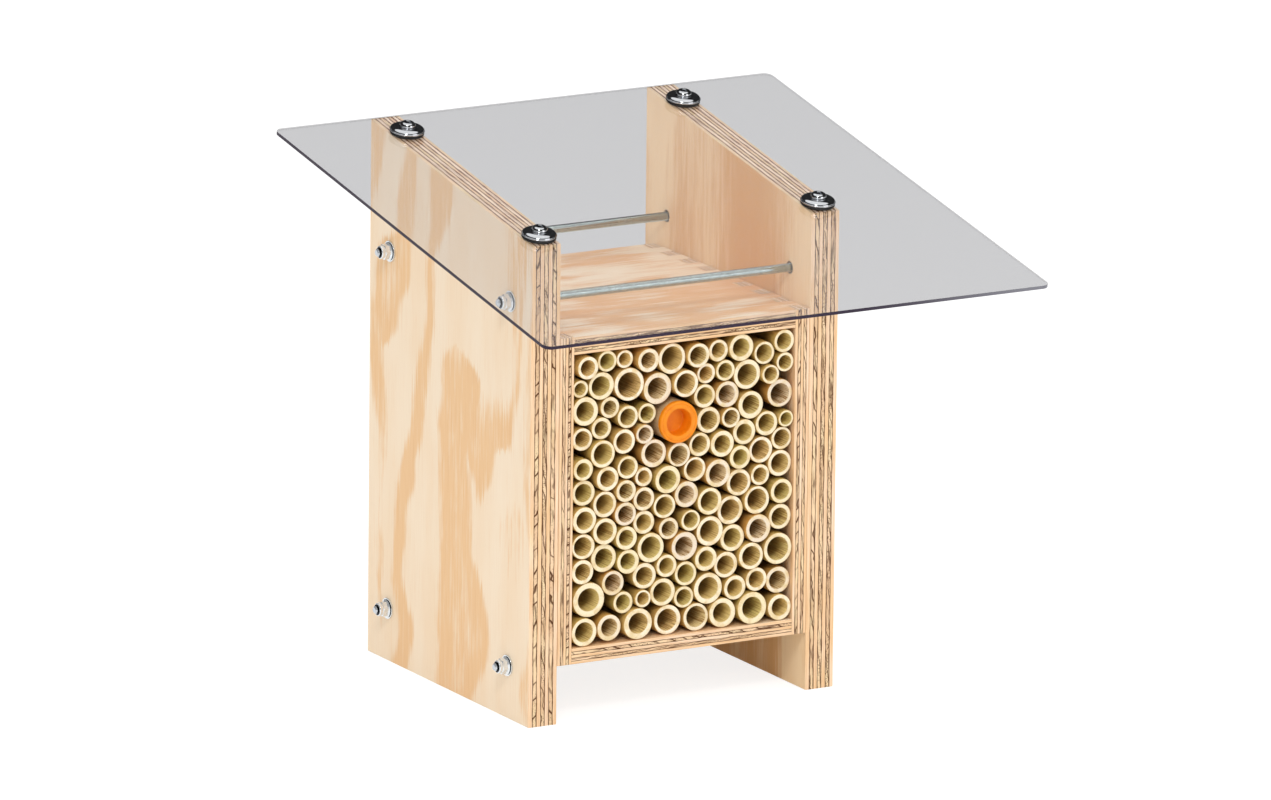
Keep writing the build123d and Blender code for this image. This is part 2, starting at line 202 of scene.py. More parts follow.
def plywood_grain():
    """Plywood all through: veneer on its faces, and the plies on its edges, cut along and across by turns.

    Place is in millimetres, as depth through the plies, then across and along the grain of the face.
    Normal has the same axes. Height is in millimetres.
    """
    sockets = {"Place": "Vector", "Normal": "Vector", "Thickness": "Float", "Plies": "Float",
               "Figure": "Float", "Feather": "Float", "Pale": "Color", "Tan": "Color", "Seed": "Float"}
    tree, given, result = new_group("plywood grain", sockets, finish_sockets)
    seed, plies = given["Seed"], given["Plies"]
    through, across, along = apart(given["Place"])
    facing_out, facing_across, facing_along = (maths("ABSOLUTE", part) for part in apart(given["Normal"]))
    on_face = ramp(facing_out, 0.55, 0.8)
    upright = maths("GREATER_THAN", facing_across, facing_along)

    # Where a point of an edge lies in its ply, and how far along the edge. The plies are a little wavy
    edgewise = maths("MULTIPLY_ADD", minus(along, across), upright, across)
    wavy = speckle((through, edgewise, seed), (4.0, 9.0, 1.0))
    ply_size = maths("DIVIDE", given["Thickness"], plies)
    depth = plus(maths("DIVIDE", through, ply_size), spread(wavy, -0.14, 0.14))
    depth = larger(smaller(depth, minus(plies, 0.01)), 0.01)
    ply = maths("FLOOR", depth)
    within = maths("FRACT", depth)
    crossed = maths("MODULO", ply, 2.0)
    cut_across = rest(maths("ABSOLUTE", minus(crossed, upright)))
    ply_seed = maths("MULTIPLY_ADD", ply, 7.3, seed)

    # Growth rings: thin dark lines that slant from side to side of a ply, short ticks and dark stretches
    chances = add("TexWhiteNoise", {"W": ply_seed}, noise_dimensions="1D").outputs["Color"]
    run_chance, lean_chance, tick_chance = apart(chances)
    run = times(spread(run_chance, 6.0, 19.0), spread(upright, 5.0, 1.0))
    drift = speckle((edgewise, ply_seed, 0.0), (20.0, 1.0, 1.0), 3.0, 0.6)
    turns = plus(maths("DIVIDE", edgewise, run), times(drift, 3.0))
    lean = spread(lean_chance, spread(upright, 1.9, -1.5), spread(upright, 2.9, 1.5))
    ring = maths("FRACT", maths("MULTIPLY_ADD", within, lean, turns))
    late = ramp(ring, spread(upright, 0.6, 0.7), spread(upright, 0.7, 0.84))
    late = minus(late, ramp(ring, 0.92, 1.0))
    patch = speckle((edgewise, ply_seed, 5.0), (26.0, 1.0, 1.0), 3.0)
    late = times(late, spread(ramp(patch, 0.34, 0.52), 0.3, 1.0))
    ticks = speckle((through, edgewise, ply_seed), (0.5, 1.0, 1.0), 1.0)
    tick_strength = times(ramp(tick_chance, 0.35, 1.0), ramp(patch, 0.4, 0.58))
    tick_strength = times(tick_strength, upright)
    late = larger(late, times(ramp(ticks, 0.52, 0.64), tick_strength))
    stretch = speckle((through, edgewise, ply_seed), (1.1, 16.0, 1.0))
    stretch = times(ramp(stretch, 0.54, 0.68), spread(upright, 0.15, 0.8))
    late = times(larger(late, stretch), spread(upright, 0.55, 0.95))
    dark = mixed(upright, srgb(110, 50, 12), srgb(79, 40, 10))
    pores = speckle((through, edgewise, ply_seed), (0.3, 0.5, 1.0))
    hue = speckle((edgewise, ply_seed, 9.0), (30.0, 1.0, 1.0))
    end_grain = mixed(ramp(hue, 0.35, 0.65), srgb(252, 220, 184), srgb(247, 224, 182))
    end_grain = mixed(times(pores, spread(upright, 0.25, 0.55)), end_grain, srgb(208, 166, 118))
    stain = speckle((edgewise, ply_seed, 14.0), (34.0, 1.0, 1.0))
    stain = times(ramp(stain, 0.42, 0.62), spread(upright, 0.0, 0.5))
    end_grain = mixed(stain, end_grain, srgb(196, 152, 112))
    end_grain = mixed(late, end_grain, dark)

    # Plies seen along their grain are smooth and warm, with fine streaks. Glue lines part all the plies, and
    # are bolder between thick ones on edges that lie level
    streak = speckle((through, edgewise, ply_seed), (0.4, 30.0, 1.0))
    warmth = speckle((edgewise, ply_seed, 3.0), (70.0, 1.0, 1.0))
    long_grain = mixed(ramp(warmth, 0.35, 0.65), srgb(249, 219, 188), srgb(244, 206, 160))
    long_grain = mixed(upright, srgb(253, 230, 202), long_grain)
    streak = ramp(streak, spread(upright, 0.5, 0.35), spread(upright, 0.62, 0.7))
    long_grain = mixed(times(streak, 0.6), long_grain,
                       mixed(upright, srgb(140, 92, 54), srgb(210, 160, 110)))
    to_glue = smaller(within, rest(within))
    joint = maths("ROUND", depth)
    glue_run = speckle((edgewise, joint, seed), (11.0, 1.0, 1.0), 3.0, 0.6)
    glue_width = spread(ramp(glue_run, 0.34, 0.68), 0.13, 0.31)
    bold = times(ramp(ply_size, 1.9, 2.5), rest(upright))
    glue_width = times(glue_width, spread(cut_across, spread(bold, 0.55, 0.95), spread(bold, 0.85, 1.1)))
    glue_core = times(glue_width, spread(bold, 0.4, 0.65))
    glue = rest(ramp(to_glue, glue_core, glue_width))
    inside = times(maths("GREATER_THAN", joint, 0.5), maths("LESS_THAN", joint, minus(plies, 0.5)))
    glue = times(glue, times(inside, 0.9))
    edge = mixed(cut_across, long_grain, end_grain)
    edge = mixed(glue, edge, dark)

    # The face: the figure, feathered by long fibres, with fine grain lines and a slow drift of tone
    fine = speckle((across, along, seed), (0.5, 36.0, 1.0), 3.0, 0.6)
    fibre = speckle((across, along, seed), (2.2, 50.0, 1.0), 3.0, 0.55)
    tone = speckle((across, along, seed), (24.0, 100.0, 1.0))
    feather = plus(spread(ramp(fibre, 0.28, 0.72), -0.26, 0.26),
                   spread(ramp(fine, 0.25, 0.75), -0.12, 0.12))
    blotch = speckle((across, along, seed), (7.0, 26.0, 1.0), 3.0, 0.6)
    feather = plus(feather, spread(ramp(blotch, 0.3, 0.7), -0.14, 0.14))
    shape = ramp(maths("MULTIPLY_ADD", feather, given["Feather"], given["Figure"]), 0.16, 0.92)
    face = mixed(shape, given["Pale"], given["Tan"])
    lines = times(ramp(fine, 0.48, 0.74), spread(shape, 0.14, 0.4))
    face = mixed(lines, face, srgb(212, 158, 106))
    face = mixed(spread(ramp(tone, 0.3, 0.75), 0.0, 0.3), face, srgb(236, 198, 152))

    saw_marks = speckle((through, edgewise, 3.0), (14.0, 0.7, 1.0), 1.0)
    edge_height = maths("MULTIPLY_ADD", late, 0.05, times(saw_marks, 0.06))
    edge_height = minus(edge_height, times(pores, 0.04))
    face_height = times(fine, -0.07)
    height = maths("MULTIPLY_ADD", minus(face_height, edge_height), on_face, edge_height)
    rough = maths("MULTIPLY_ADD", on_face, -0.18, spread(fine, 0.7, 0.84))
    feed(result, {"Color": mixed(on_face, edge, face), "Roughness": rough, "Height": height})
    return tree


plywood = plywood_grain()
figured = veneer_figure()


def plywood_look(name, axes, low, thickness, plies, pale, tan, seed, figure_size, feather=1.0, drawn=None):
    """Plywood whose depth, cross grain and face grain run along the three axes named, from a low corner.

    figure_size is the width and length of the figure in millimetres, and feather how far long fibres fray it.
    drawn is a group that draws the figure of the face towards -X from listed bands.
    """
    look, tree, shader = new_look(name)
    coordinates = add("TexCoord", {}, tree).outputs
    from_corner = vectors("SUBTRACT", coordinates["Object"], low)
    in_mm = add("VectorMath", {0: from_corner, "Scale": 1 / MM}, operation="SCALE").outputs[0]
    order = ["XYZ".index(axis) for axis in axes]
    places, normals = apart(in_mm), apart(coordinates["Normal"])
    place = together(*[places[number] for number in order])
    normal = together(*[normals[number] for number in order])
    width, length = figure_size
    sizes = {"Place": place, "Seed": seed, "Width": width, "Length": length}
    figure = results_of(figured, sizes)["Figure"]
    if drawn:
        by_hand = results_of(drawn, {"Place": place})["Figure"]
        outer = maths("LESS_THAN", normals[0], 0.0)
        figure = maths("MULTIPLY_ADD", minus(by_hand, figure), outer, figure)
    grain = results_of(plywood, {
        "Place": place, "Normal": normal, "Thickness": thickness / MM, "Plies": plies, "Figure": figure,
        "Feather": feather, "Pale": pale, "Tan": tan, "Seed": seed})
    feed(shader, {"Base Color": grain["Color"], "Roughness": grain["Roughness"], "Specular IOR Level": 0.15,
                  "Normal": bumped(grain["Height"], MM)})
    return look


# The figure on the outside of the left board: each tan band by its two edges, as heights above the ground and
# places behind the board's front edge, in millimetres, and by how deep its colour is
left_bands = [
    {"depth": 0.95,
     "front": [(0, 64), (10, 58), (20, 51), (30, 46), (42, 45), (55, 49), (65, 53), (75, 59), (85, 65),
               (100, 67), (115, 68), (128, 70), (137, 71), (150, 66), (170, 58), (182, 56), (190, 63),
               (196, 74), (200, 86)],
     "back": [(0, 107), (20, 106), (40, 106), (60, 104), (100, 104), (120, 105), (140, 105), (150, 108),
              (160, 107), (180, 104), (190, 101), (196, 95), (200, 88)]},
    {"depth": 0.85,
     "front": [(114, 58), (122, 52), (130, 45), (140, 41), (149, 38), (153, 29), (157, 21), (168, 19),
               (180, 22)],
     "back": [(114, 61), (122, 63), (130, 68), (138, 74), (150, 80), (180, 80)]},
    {"depth": 0.65,
     "front": [(158, 20), (170, 17), (190, 12), (215, 10), (240, 6), (270, 2)],
     "back": [(158, 24), (168, 29), (177, 27), (186, 24), (200, 21), (220, 22), (240, 26), (270, 30)]},
    {"depth": 1.0,
     "front": [(0, 140), (13, 136), (28, 134), (38, 140), (58, 147), (75, 143), (95, 140), (108, 134),
               (123, 132), (138, 125), (158, 121), (183, 116), (208, 112), (240, 112), (248, 109),
               (258, 101), (270, 95), (290, 89)],
     "back": [(0, 160), (18, 154), (33, 155), (50, 160), (70, 159), (95, 157), (113, 152), (128, 145),
              (145, 139), (163, 136), (183, 131), (208, 122), (233, 122), (246, 120), (270, 119),
              (290, 119)]},
    {"depth": 0.85,
     "front": [(20, 170), (60, 172), (85, 174), (118, 170), (138, 167), (158, 167), (168, 171), (180, 172),
               (185, 165), (195, 155), (210, 150), (223, 142), (243, 139), (258, 136), (278, 134),
               (300, 130)],
     "back": [(20, 173), (60, 177), (85, 175), (118, 174), (130, 176), (145, 184), (158, 186), (178, 188),
              (190, 186), (208, 184), (225, 182), (243, 175), (250, 160), (270, 156), (300, 147)]},
    {"depth": 0.8,
     "front": [(255, 187), (270, 180), (290, 173), (306, 169)],
     "back": [(255, 187), (270, 189), (290, 189), (306, 189)]},
    {"depth": 0.35,
     "front": [(80, 20), (86, 8), (96, 3), (112, 5), (122, 12), (126, 20)],
     "back": [(80, 21), (88, 30), (100, 35), (112, 33), (120, 26), (126, 20)]},
    {"depth": 0.6,
     "front": [(0, -9), (300, -9)],
     "back": [(0, 3), (20, 12), (40, 3), (70, 1), (110, 3), (140, 8), (180, 9), (210, 5), (235, 2),
              (300, 10)]},
]


def drawn_figure(name, bands, height, depth):
    """A drawn veneer figure: the depth of the colour in each band and 0 outside, with ragged ends.

    All is in millimetres. A band fades in over its edges and is paler at its heart, and it tapers where it
    ends on the board. One that comes near the sloping top runs on past it.
    """
    fade_from, fade_to, heart = -5.0, 6.0, 24.0
    heart_share = 0.72
    taper = 0.35
    highest_end = 250
    tree, given, result = new_group(name, {"Place": "Vector"}, {"Figure": "Float"})
    _, across, along = apart(given["Place"])
    tooth = speckle((across, 0.0, 2.0), (1.5, 1.0, 1.0), 3.0)
    wave = speckle((across, along, 4.0), (14.0, 30.0, 1.0))
    ragged = plus(along, spread(tooth, -11.0, 11.0))
    place_up = maths("DIVIDE", ragged, height)
    place_back = plus(across, spread(wave, -2.5, 2.5))
    figure = 0.0
    for band in bands:
        edges = []
        for side in ("front", "back"):
            node = add("FloatCurve", {"Value": place_up})
            node.mapping.use_clip = False
            points = node.mapping.curves[0].points
            spots = [(up / height, back / depth) for up, back in band[side]]
            points[0].location, points[1].location = spots[0], spots[-1]
            for spot in spots[1:-1]:
                points.new(*spot)
            node.mapping.update()
            edges.append(times(node.outputs[0], depth))
        inside = smaller(minus(place_back, edges[0]), minus(edges[1], place_back))
        lowest, highest = band["front"][0][0], band["front"][-1][0]
        if lowest > 0:
            inside = smaller(inside, times(minus(ragged, lowest), taper))
        if highest < highest_end:
            inside = smaller(inside, times(minus(highest, ragged), taper))
        core = spread(ramp(inside, fade_to, heart), band["depth"], heart_share * band["depth"])
        figure = larger(times(ramp(inside, fade_from, fade_to), core), figure)
    feed(result, {"Figure": figure})
    return tree


def flat_piece(name, outline, holes, thickness, arris, place):
    """A piece sawn from sheet stock: an outline with round holes, and edges eased by a small arris."""
    curve = bpy.data.curves.new(name, "CURVE")
    curve.dimensions = "2D"
    curve.fill_mode = "BOTH"
    curve.extrude = thickness / 2 - arris
    curve.bevel_depth = arris
    curve.bevel_resolution = 2
    curve.offset = -arris
    turns = [step * math.tau / hole_steps for step in range(hole_steps)]
    rounds = [[(x + radius * math.cos(turn), y + radius * math.sin(turn)) for turn in turns]
              for x, y, radius in holes]
    for loop in (outline, *rounds):
        spline = curve.splines.new("POLY")
        spline.points.add(len(loop) - 1)
        spline.use_cyclic_u = True
        for point, (x, y) in zip(spline.points, loop):
            point.co = (x, y, 0, 1)
    drawing = bpy.data.objects.new(name, curve)
    mesh = bpy.data.meshes.new_from_object(drawing)
    bpy.data.objects.remove(drawing)
    bpy.data.curves.remove(curve)
    mesh.transform(place)
    tidy_mesh(mesh)
    return mesh


def tidy_mesh(mesh, weld=True):
    """Weld the corners that coincide, where there are any, and turn every face outwards."""
    shape = bmesh.new()
    shape.from_mesh(mesh)
    if weld:
        bmesh.ops.remove_doubles(shape, verts=shape.verts, dist=weld_reach)
        bmesh.ops.dissolve_degenerate(shape, edges=shape.edges, dist=weld_reach / 2)
    bmesh.ops.recalc_face_normals(shape, faces=shape.faces)
    shape.to_mesh(mesh)
    shape.free()


def add_piece(name, mesh, looks, body, slot, *nodes, crease=30):
    """A finished mesh as a piece of the object: its looks, its body and the nodes it stands for. slot is not
    used.
    """
    mesh.name = name
    for look in looks:
        mesh.materials.append(look)
    mesh.shade_smooth()
    mesh.set_sharp_from_angle(angle=math.radians(crease))
    made = bpy.data.objects.new(name, mesh)
    bpy.context.scene.collection.objects.link(made)
    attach(made, body)
    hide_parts(*nodes)
    return made


def axes_at(origin, x_axis, z_axis):
    """The frame at a point with these X and Z axes, as a matrix."""
    x_axis, z_axis = Vector(x_axis), Vector(z_axis)
    frame_axes = Matrix((x_axis, z_axis.cross(x_axis), z_axis)).transposed().to_4x4()
    return Matrix.Translation(origin) @ frame_axes


board_outline = [(board_low.y, board_low.z), (board_high.y, board_low.z), (board_high.y, board_high.z),
                 (board_low.y, board_front_height)]
rod_holes = [(middle.y, middle.z, rod_hole_radius) for middle in rod_middles]
left_figure = drawn_figure("left board figure", left_bands, board_high.z / MM,
                           (board_high.y - board_low.y) / MM)
board_colours = {
    "left": (srgb(244, 225, 199), srgb(236, 196, 150), left_figure, 3.0, (46.0, 190.0), 1.0),
    "right": (srgb(255, 227, 186), srgb(231, 180, 122), None, 8.0, (64.0, 900.0), 0.55),
}
for side_name, (pale, tan, drawn, seed, figure_size, feather) in board_colours.items():
    side_low, side_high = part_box(f"{side_name}_side_board")
    middle_plane = axes_at(((side_low.x + side_high.x) / 2, 0, 0), (0, 1, 0), (1, 0, 0))
    board = flat_piece(f"{side_name}_board", board_outline, rod_holes, board_thickness, board_arris,
                       middle_plane)
    look = plywood_look(f"{side_name} board plywood", "XYZ", side_low, board_thickness, board_plies,
                        pale, tan, seed, figure_size, feather, drawn)
    add_piece(f"{side_name}_board", board, [look], "stand", "plywood", f"{side_name}_side_board", crease=5)

# Nest box. Its walls, top and floor are thin plywood with fingers that lock into each other along the long
# edges, glued, with a back let in between the four. The sawn fingers keep a fine eased edge.

box_arris = 0.25 * MM
box_plies = 5
calm_veneer = (srgb(246, 227, 198), srgb(236, 194, 146), (44.0, 180.0))
lively_veneer = (srgb(250, 234, 208), srgb(236, 186, 136), (34.0, 90.0))
box_panels = {
    "box_left_wall": ("XYZ", 11.0, calm_veneer),
    "box_right_wall": ("XYZ", 14.0, calm_veneer),
    "box_top": ("ZYX", 19.0, lively_veneer),
    "box_floor": ("ZYX", 21.0, calm_veneer),
    "box_back": ("YXZ", 26.0, calm_veneer),
}
for panel_name, (axes, seed, (pale, tan, figure_size)) in box_panels.items():
    panel_low, panel_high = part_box(panel_name)
    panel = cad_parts[panel_name]
    thickness = (panel_high - panel_low)["XYZ".index(axes[0])]
    look = plywood_look(f"{panel_name} plywood", axes, panel_low, thickness, box_plies, pale, tan, seed,
                        figure_size)
    panel.data.materials.clear()
    panel.data.materials.append(look)
    panel.modifiers.new("weld", "WELD").merge_threshold = weld_reach
    eased = panel.modifiers.new("arris", "BEVEL")
    eased.width = box_arris
    eased.segments = 2
    eased.limit_method = "ANGLE"
    eased.harden_normals = True

# Bamboo tubes. Dry canes of many thicknesses, sawn to about the depth of the box and pushed in side by side:
# a smooth waxy skin, a pale sawn end with darker fibres towards the skin, and a dull fibrous bore.

cane_steps = 30
cane_seed = 12
rim_round = 0.22 * MM
cane_swell = 1.004
widest_bore = 1.15
most_oval = 0.022
most_lobed = 0.006
most_off_middle = 0.045
most_slant = 0.022


def solids_of(node):
    """The separate solids of a node, each as the list of its corners."""
    shape = bmesh.new()
    shape.from_mesh(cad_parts[node].data)
    bmesh.ops.remove_doubles(shape, verts=shape.verts, dist=weld_reach)
    left, solids = dict.fromkeys(shape.verts), []
    while left:
        found, reached = [], [left.popitem()[0]]
        while reached:
            corner = reached.pop()
            found.append(corner.co.copy())
            for edge in corner.link_edges:
                near = edge.other_vert(corner)
                if near in left:
                    del left[near]
                    reached.append(near)
        solids.append(found)
    shape.free()
    return sorted(solids, key=lambda corners: sum(corners, Vector()).x)


def cane_fibres():
    """Lengthwise fibres round a cane, its place in millimetres, and two chances that set it apart."""
    sockets = {"Place": "Vector", "Streak": "Float", "Broad": "Float", "Hue": "Float", "Tone": "Float"}
    tree, _, result = new_group("cane fibres", {}, sockets)
    place = add("Attribute", {}, tree, attribute_name="cane_place").outputs["Vector"]
    chances = add("Attribute", {}, tree, attribute_name="cane_chance").outputs["Vector"]
    hue, tone, offset = apart(chances)
    shifted = vectors("ADD", place, together(0.0, times(offset, 900.0), 0.0))
    streak = speckle(shifted, (0.45, 26.0, 0.45), 3.0, 0.6)
    broad = speckle(shifted, (5.0, 40.0, 5.0))
    feed(result, {"Place": place, "Streak": streak, "Broad": broad, "Hue": hue, "Tone": tone})
    return tree


fibres = cane_fibres()


def cane_skin():
    """The waxy outside: straw to olive, with faint lengthwise streaks, and painted shade behind the open
    front.
    """
    look, tree, shader = new_look("bamboo skin")
    cane = results_of(fibres, {}, tree)
    base = mixed(cane["Hue"], srgb(222, 180, 104), srgb(186, 164, 84))
    base = mixed(ramp(cane["Tone"], 0.62, 1.0), base, srgb(214, 156, 78))
    base = mixed(spread(cane["Streak"], 0.0, 0.45), base, srgb(162, 118, 52))
    base = mixed(ramp(cane["Broad"], 0.5, 0.8), base, srgb(230, 196, 124))
    _, inward, _ = apart(cane["Place"])
    # Painted shade: the skin darkens over the first 12 mm behind the sawn end, for the shade in the gaps
    # between canes
    base = mixed(times(ramp(inward, 1.0, 12.0), 0.72), base, srgb(88, 56, 20))
    feed(shader, {"Base Color": base, "Roughness": spread(cane["Streak"], 0.3, 0.5),
                  "Normal": bumped(cane["Streak"], 0.04 * MM)})
    return look


def cane_end():
    """The sawn end: cream, with fibre bundles as fine dark dots that crowd towards the skin."""
    look, tree, shader = new_look("bamboo sawn end")
    cane = results_of(fibres, {}, tree)
    rim = add("Attribute", {}, tree, attribute_name="cane_rim").outputs["Fac"]
    dots = add("TexVoronoi", {"Vector": cane["Place"], "Scale": 2.1}).outputs["Distance"]
    dot = times(rest(ramp(dots, 0.16, 0.42)), spread(rim, 0.15, 0.75))
    base = mixed(cane["Hue"], srgb(250, 236, 211), srgb(243, 228, 188))
    base = mixed(ramp(cane["Tone"], 0.7, 1.0), base, srgb(236, 220, 198))
    base = mixed(ramp(cane["Broad"], 0.42, 0.72), base, srgb(230, 207, 160))
    base = mixed(dot, base, srgb(206, 172, 118))
    base = mixed(ramp(rim, 0.88, 1.0), base, srgb(214, 178, 112))
    feed(shader, {"Base Color": base, "Roughness": 0.8, "Specular IOR Level": 0.2,
                  "Normal": bumped(speckle(cane["Place"], 0.18), 0.08 * MM)})
    return look


def cane_bore():
    """The inside: dull olive brown with fibres, darkened deeper in by painted shade."""
    look, tree, shader = new_look("bamboo bore")
    cane = results_of(fibres, {}, tree)
    _, inward, _ = apart(cane["Place"])
    base = mixed(cane["Hue"], srgb(246, 216, 150), srgb(230, 212, 136))
    base = mixed(ramp(cane["Tone"], 0.7, 1.0), base, srgb(244, 222, 184))
    streaked = times(ramp(cane["Streak"], 0.46, 0.6), spread(cane["Tone"], 0.3, 1.0))
    base = mixed(streaked, base, srgb(164, 120, 62))
    # Painted shade: the bore darkens from 4 to 16 mm in, for the shade that deepens inside it
    base = mixed(times(ramp(inward, 4.0, 16.0), 0.66), base, srgb(124, 92, 44))
    feed(shader, {"Base Color": base, "Roughness": 0.75, "Specular IOR Level": 0.2,
                  "Normal": bumped(cane["Streak"], 0.12 * MM)})
    return look


def cane_rings(radius, bore, length):
    """A cane's section from the back of its skin round the sawn end to the back of its bore.

    Each ring is its distance behind the sawn end, its radius, the share of the wall from bore to skin, and
    the look of the stretch that follows it: skin, sawn end or bore.
    """
    skin, end, inside = 0, 1, 2
    wall = radius - bore
    return [
        (length, radius, 1.0, skin),
        (length * 0.35, radius, 1.0, skin),
        (6 * MM, radius, 1.0, skin),
        (2 * rim_round, radius, 1.0, end),
        (0.4 * rim_round, radius - 0.35 * rim_round, 0.97, end),
        (0.0, radius - rim_round, 0.9, end),
        (0.0, bore + 0.55 * wall, 0.55, end),
        (0.0, bore + 0.16 * wall, 0.16, end),
        (0.12 * MM, bore + 0.05 * wall, 0.05, end),
        (0.4 * MM, bore, 0.0, inside),
        (5 * MM, bore * 0.985, 0.0, inside),
        (16 * MM, bore * 0.98, 0.0, inside),
        (length * 0.4, bore * 0.97, 0.0, inside),
        (length, bore * 0.97, 0.0, end),
    ]


cane_looks = [cane_skin(), cane_end(), cane_bore()]
chance = random.Random(cane_seed)
row_names = sorted(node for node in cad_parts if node.startswith("tube_row_"))
for row_name in row_names:
    corners, faces, face_looks, places, chances, rims = [], [], [], [], [], []
    for solid in solids_of(row_name):
        middle = sum(solid, Vector()) / len(solid)
        reach = [math.hypot(corner.x - middle.x, corner.z - middle.z) for corner in solid]
        front = min(corner.y for corner in solid)
        length = max(corner.y for corner in solid) - front
        radius = max(reach) * cane_swell
        bore = min(reach) * chance.uniform(1.0, widest_bore)
        oval, oval_turn = chance.uniform(0.0, most_oval), chance.uniform(0, math.tau)
        lobes, lobe_turn = chance.uniform(0.0, most_lobed), chance.uniform(0, math.tau)
        off_middle, off_turn = chance.uniform(0.0, most_off_middle) * radius, chance.uniform(0, math.tau)
        slant, slant_turn = chance.uniform(0.0, most_slant), chance.uniform(0, math.tau)
        own_chances = (chance.random(), chance.random(), chance.random())
        rings = cane_rings(radius, bore, length)
        first = len(corners)
        for behind, ring_radius, rim, _ in rings:
            for step in range(cane_steps):
                angle = step * math.tau / cane_steps
                uneven = 1 - oval * (1 - math.cos(2 * (angle - oval_turn))) / 2
                uneven -= lobes * (1 - math.cos(3 * (angle - lobe_turn))) / 2
                across = ring_radius * uneven
                shift = off_middle * (1 - rim)
                x = across * math.cos(angle) + shift * math.cos(off_turn)
                z = across * math.sin(angle) + shift * math.sin(off_turn)
                fade = max(0.0, 1 - behind / length)
                y = behind + slant * fade * (1 + math.cos(angle - slant_turn)) * across / 2
                corners.append((middle.x + x, front + y, middle.z + z))
                places += [x / MM, behind / MM, z / MM]
                chances += own_chances
                rims.append(rim)
        for number, ring in enumerate(rings):
            here = first + number * cane_steps
            there = first + (number + 1) % len(rings) * cane_steps
            for step in range(cane_steps):
                after = (step + 1) % cane_steps
                faces.append((here + step, here + after, there + after, there + step))
                face_looks.append(ring[3])
    mesh = bpy.data.meshes.new(row_name)
    mesh.from_pydata(corners, [], faces)
    mesh.polygons.foreach_set("material_index", face_looks)
    for attribute_name, kind, key, values in (("cane_place", "FLOAT_VECTOR", "vector", places),
                                              ("cane_chance", "FLOAT_VECTOR", "vector", chances),
                                              ("cane_rim", "FLOAT", "value", rims)):
        mesh.attributes.new(attribute_name, kind, "POINT").data.foreach_set(key, values)
    tidy_mesh(mesh, weld=False)
    row_number = row_name.rsplit("_", 1)[1]
    add_piece(f"bamboo_row_{row_number}", mesh, cane_looks, "nest_box", "bamboo", row_name, crease=40)

# Starter tube. A wound card tube, smooth outside, with the faint spiral seam of its last layer. It lies
# among the canes and slides out towards the front.

round_steps = 64


def turned(profile, steps=round_steps):
    """Corners and faces of a piece turned round the Z axis.

    The profile is a closed list of (radius, height), or a function that gives one for an angle.
    """
    corners, faces = [], []
    for step in range(steps):
        angle = step * math.tau / steps
        points = profile(angle) if callable(profile) else profile
        corners += [Vector((r * math.cos(angle), r * math.sin(angle), height)) for r, height in points]
    count = len(corners) // steps
    for step in range(steps):
        here, there = step * count, (step + 1) % steps * count
        for number in range(count):
            after = (number + 1) % count
            faces.append((here + number, here + after, there + after, there + number))
    return corners, faces


def arc(middle, radius, start, end, steps=6):
    """Points of an arc, from one angle to another in degrees."""
    turns = [math.radians(start + (end - start) * step / steps) for step in range(steps + 1)]
    return [(middle[0] + radius * math.cos(turn), middle[1] + radius * math.sin(turn)) for turn in turns]


def mesh_at(name, form, places):
    """A mesh with a copy of a form's corners and faces at each place."""
    corners, faces = form
    mesh = bpy.data.meshes.new(name)
    all_corners = [place @ corner for place in places for corner in corners]
    all_faces = [[corner + number * len(corners) for corner in face]
                 for number in range(len(places)) for face in faces]
    mesh.from_pydata(all_corners, [], all_faces)
    tidy_mesh(mesh)
    return mesh


tube_low, tube_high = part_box("starter_tube")
tube_middle = (tube_low + tube_high) / 2
tube_radius = (tube_high.x - tube_low.x) / 2
tube_wall = 1.5 * MM
tube_length = tube_high.y - tube_low.y
tube_edge = 0.2 * MM
card_strip = 38 * MM
tube_front = axes_at((tube_middle.x, tube_low.y, tube_middle.z), (1, 0, 0), (0, -1, 0))
tube_profile = (
    arc((tube_radius - tube_edge, -tube_edge), tube_edge, 0, 90, 3)
    + arc((tube_radius - tube_wall + tube_edge, -tube_edge), tube_edge, 90, 180, 3)
    + arc((tube_radius - tube_wall + tube_edge, tube_edge - tube_length), tube_edge, 180, 270, 3)
    + arc((tube_radius - tube_edge, tube_edge - tube_length), tube_edge, 270, 360, 3))


def card_look():
    """Brown card, with a spiral seam, flecks and soft fibres."""
    look, tree, shader = new_look("card tube")
    own = add("TexCoord", {}, tree).outputs["Object"]
    x, y, z = apart(vectors("SUBTRACT", own, tube_middle))
    turn = maths("DIVIDE", maths("ARCTAN2", z, x), math.tau)
    winding = maths("FRACT", maths("MULTIPLY_ADD", y, 1 / card_strip, turn))
    seam = rest(ramp(maths("PINGPONG", winding, 0.5), 0.004, 0.02))
    fleck = speckle(own, (0.4 * MM, 1.2 * MM, 0.4 * MM), 3.0)
    base = mixed(fleck, srgb(206, 176, 132), srgb(168, 132, 90))
    base = mixed(times(seam, 0.6), base, srgb(120, 90, 58))
    height = minus(times(fleck, 0.05), times(seam, 0.1))
    feed(shader, {"Base Color": base, "Roughness": spread(fleck, 0.7, 0.95), "Normal": bumped(height, MM)})
    return look


add_piece("card_tube", mesh_at("card_tube", turned(tube_profile), [tube_front]), [card_look()],
          "starter_tube", "card_tube", "starter_tube")

# Starter cap. One moulding of orange plastic: a rounded flange that lies against the tube's mouth, and a
# hollow plug, a push fit in its bore. It pulls out towards the front.

